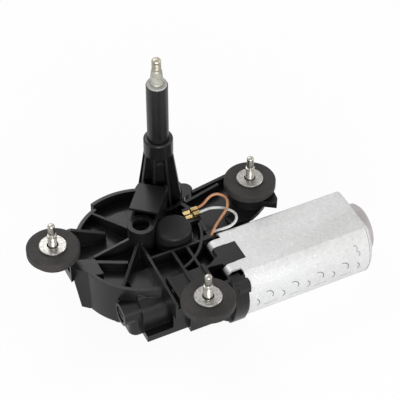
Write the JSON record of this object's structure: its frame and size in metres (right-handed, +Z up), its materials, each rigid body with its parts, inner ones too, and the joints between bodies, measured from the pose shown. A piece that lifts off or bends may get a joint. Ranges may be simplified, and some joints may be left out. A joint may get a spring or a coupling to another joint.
{
  "type": "wiper motor",
  "caption": "Rear wiper motor with worm gearbox, crank and rod linkage, upright output shaft and rubber-mounted studs on three arms.",
  "frame": {"origin": "on the output shaft's axis, in the plane the motor lies on", "axes": "+X along the motor towards its closed end, +Y away from the front mount, +Z up the output shaft"},
  "size_m": [0.2169, 0.1475, 0.1517],
  "materials": {
    "black_nylon": "satin",
    "black_steel": "satin",
    "seal_white": "matte",
    "sinter_bronze": "satin",
    "ground_steel": "satin",
    "galvanised_steel": "satin",
    "ferrite": "matte",
    "brown_plastic": "matte",
    "carbon": "matte",
    "zinc_steel": "satin",
    "tinned_brass": "satin",
    "brass": "gloss",
    "brown_wire": "satin",
    "white_wire": "satin",
    "dark_steel": "satin",
    "copper_enamel": "gloss",
    "copper_bar": "satin",
    "white_acetal": "satin",
    "grey_rubber": "matte"
  },
  "bodies": {
    "housing": {"gear_housing": "black_nylon", "bottom_cover": "black_nylon", "cover_screws": "zinc_steel", "shaft_sleeve": "black_steel", "sleeve_seal": "seal_white", "upper_bush": "sinter_bronze", "lower_bush": "sinter_bronze", "wheel_axle": "ground_steel", "motor_can": "galvanised_steel", "magnet_front": "ferrite", "magnet_rear": "ferrite", "brush_holder": "brown_plastic", "brush_front": "carbon", "brush_rear": "carbon", "brush_spring_front": "ground_steel", "brush_spring_rear": "ground_steel", "rear_bearing": "sinter_bronze", "bearing_retainer": "zinc_steel", "front_bearing": "sinter_bronze", "tail_bush": "sinter_bronze", "thrust_plug": "black_nylon", "switch_cap": "black_nylon", "socket_pins": "tinned_brass", "terminal_brown": "brass", "terminal_white": "brass", "lead_brown": "brown_wire", "lead_white": "white_wire", "park_contacts": "brass", "grommet_left": "grey_rubber", "mount_sleeve_left": "zinc_steel", "mount_stud_left": "zinc_steel", "grommet_rear": "grey_rubber", "mount_sleeve_rear": "zinc_steel", "mount_stud_rear": "zinc_steel", "grommet_front": "grey_rubber", "mount_sleeve_front": "zinc_steel", "mount_stud_front": "zinc_steel"},
    "armature": {"armature_shaft": "ground_steel", "armature_core": "dark_steel", "armature_windings": "copper_enamel", "commutator": "copper_bar"},
    "wheel": {"worm_wheel": "white_acetal", "park_disc": "brass", "crank_pin": "ground_steel", "rod_clip": "zinc_steel"},
    "rod": {"connecting_rod": "zinc_steel"},
    "output": {"output_shaft": "ground_steel", "output_lever": "zinc_steel", "lever_pin": "ground_steel"}
  },
  "joints": [
    {"name": "armature_spin", "type": "hinge", "parent": "housing", "child": "armature", "pos_m": [0.02, -0.0724, 0.0207], "axis": [1, 0, 0], "continuous": true},
    {"name": "wheel_spin", "type": "hinge", "parent": "housing", "child": "wheel", "pos_m": [-0.0288, -0.0344, 0.0207], "axis": [0, 0, 1], "continuous": true},
    {"name": "rod_turn", "type": "hinge", "parent": "wheel", "child": "rod", "pos_m": [-0.02113, -0.04082, 0.0059], "axis": [0, 0, 1], "continuous": true},
    {"name": "output_swing", "type": "hinge", "parent": "housing", "child": "output", "pos_m": [0, 0, 0.06], "axis": [0, 0, 1], "range_deg": [-59, 46]}
  ],
  "couplings": [
    {"joint": "wheel_spin", "follows": "armature_spin", "ratio": -0.019231},
    {"joint": "rod_turn", "follows": "armature_spin", "ratio": 0.019231}
  ]
}
